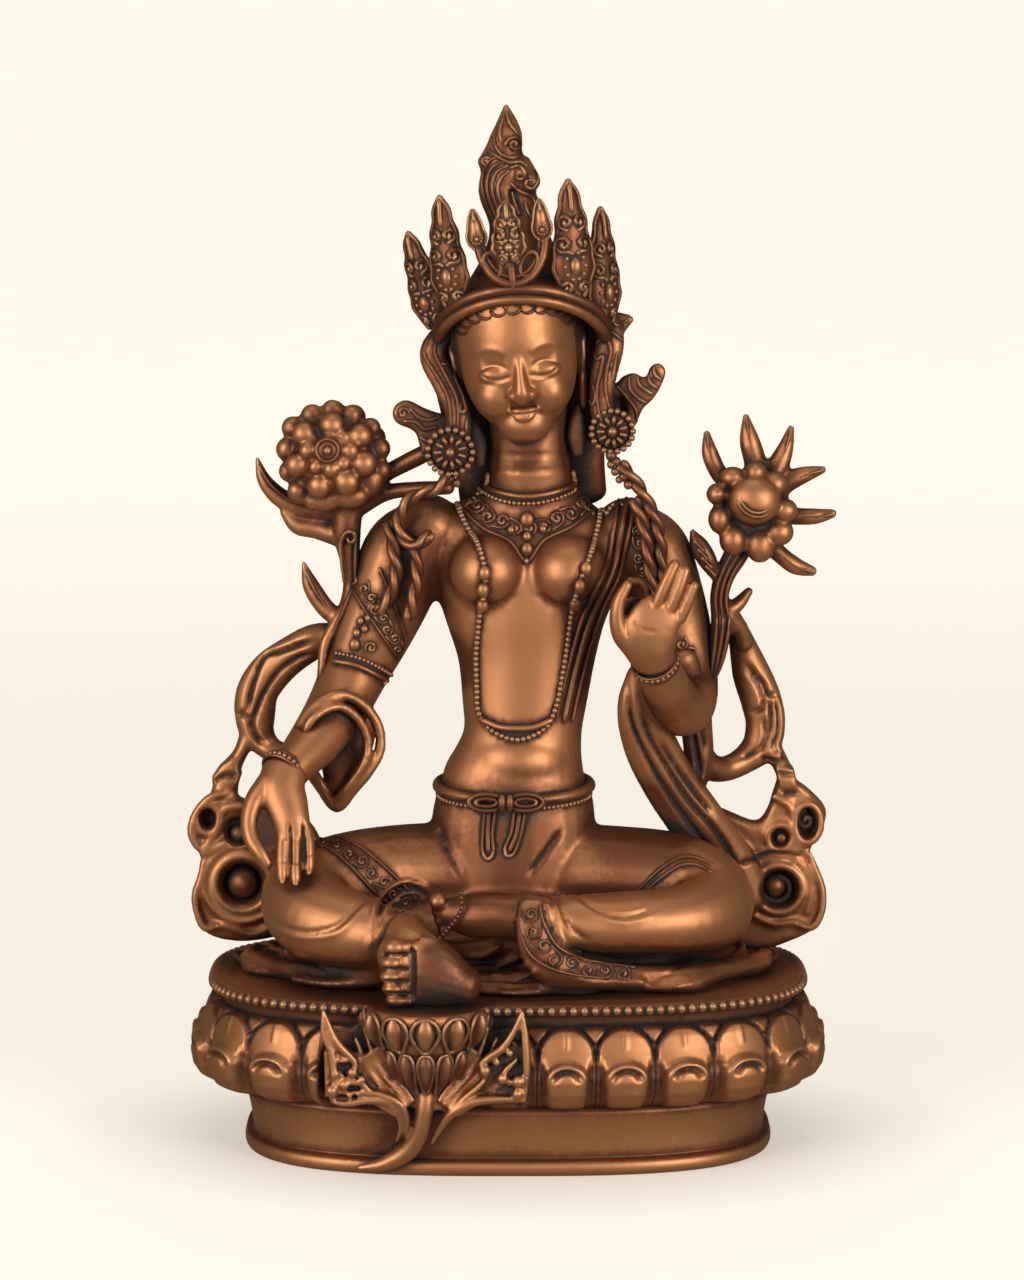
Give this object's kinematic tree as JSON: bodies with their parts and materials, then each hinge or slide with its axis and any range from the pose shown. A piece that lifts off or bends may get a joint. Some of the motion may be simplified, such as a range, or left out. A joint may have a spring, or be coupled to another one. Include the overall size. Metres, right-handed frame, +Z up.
{
  "type": "tara figure",
  "caption": "Small altar figure of a crowned, seated Tara between lotus flowers and looped scarves, on an oval lotus pedestal, cast in copper-toned resin.",
  "frame": {"origin": "middle of the pedestal's flat underside", "axes": "+Z up along the figure, -Y towards the viewer whom the figure faces, +X to that viewer's right"},
  "size_m": [0.1288, 0.0875, 0.2078],
  "materials": {
    "antique_copper": "satin antique copper paint on cast resin, dark wash in the hollows, rubbed lighter on the raised forms"
  },
  "bodies": {
    "root": {"lotus_pedestal": "antique_copper", "seated_tara": "antique_copper"}
  },
  "joints": []
}
